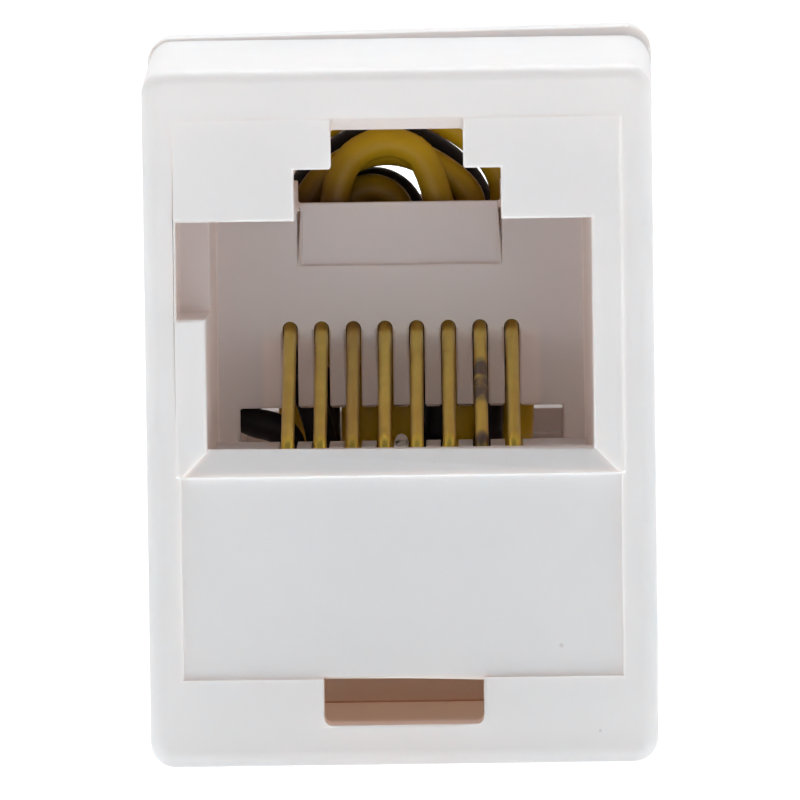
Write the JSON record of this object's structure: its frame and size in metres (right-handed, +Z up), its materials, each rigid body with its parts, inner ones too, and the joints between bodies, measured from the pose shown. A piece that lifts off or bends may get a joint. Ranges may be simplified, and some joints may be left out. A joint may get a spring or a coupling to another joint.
{
  "type": "rj45 inline coupler",
  "caption": "White moulded inline coupler block with a keyed modular plug jack at each end, sloping gold spring contacts, and crossing leads that join them straight through inside.",
  "frame": {"origin": "under the middle of the overall box, on the flat underside", "axes": "+Y runs from jack A's face to jack B's face, +Z is up with both latch slots at the top, +X is to the right for someone who looks into jack A"},
  "size_m": [0.0168, 0.028, 0.0225],
  "materials": {
    "white_plastic": "satin moulded",
    "gold_contact": "thin gold over spring bronze, slightly tarnished",
    "tinned_crimp": "tin-plated",
    "yellow_insulation": "smooth",
    "black_insulation": "smooth"
  },
  "bodies": {
    "root": {"housing": "white_plastic", "rear_jack_cover": "white_plastic", "contact_carrier_a": "white_plastic", "contact_carrier_b": "white_plastic", "contact_a1": "gold_contact", "crimp_a1": "tinned_crimp", "contact_b1": "gold_contact", "crimp_b1": "tinned_crimp", "contact_a2": "gold_contact", "crimp_a2": "tinned_crimp", "contact_b2": "gold_contact", "crimp_b2": "tinned_crimp", "contact_a3": "gold_contact", "crimp_a3": "tinned_crimp", "contact_b3": "gold_contact", "crimp_b3": "tinned_crimp", "contact_a4": "gold_contact", "crimp_a4": "tinned_crimp", "contact_b4": "gold_contact", "crimp_b4": "tinned_crimp", "contact_a5": "gold_contact", "crimp_a5": "tinned_crimp", "contact_b5": "gold_contact", "crimp_b5": "tinned_crimp", "contact_a6": "gold_contact", "crimp_a6": "tinned_crimp", "contact_b6": "gold_contact", "crimp_b6": "tinned_crimp", "contact_a7": "gold_contact", "crimp_a7": "tinned_crimp", "contact_b7": "gold_contact", "crimp_b7": "tinned_crimp", "contact_a8": "gold_contact", "crimp_a8": "tinned_crimp", "contact_b8": "gold_contact", "crimp_b8": "tinned_crimp", "lead_1": "yellow_insulation", "lead_2": "black_insulation", "lead_3": "yellow_insulation", "lead_4": "black_insulation", "lead_5": "yellow_insulation", "lead_6": "yellow_insulation", "lead_7": "black_insulation", "lead_8": "black_insulation"}
  },
  "joints": []
}
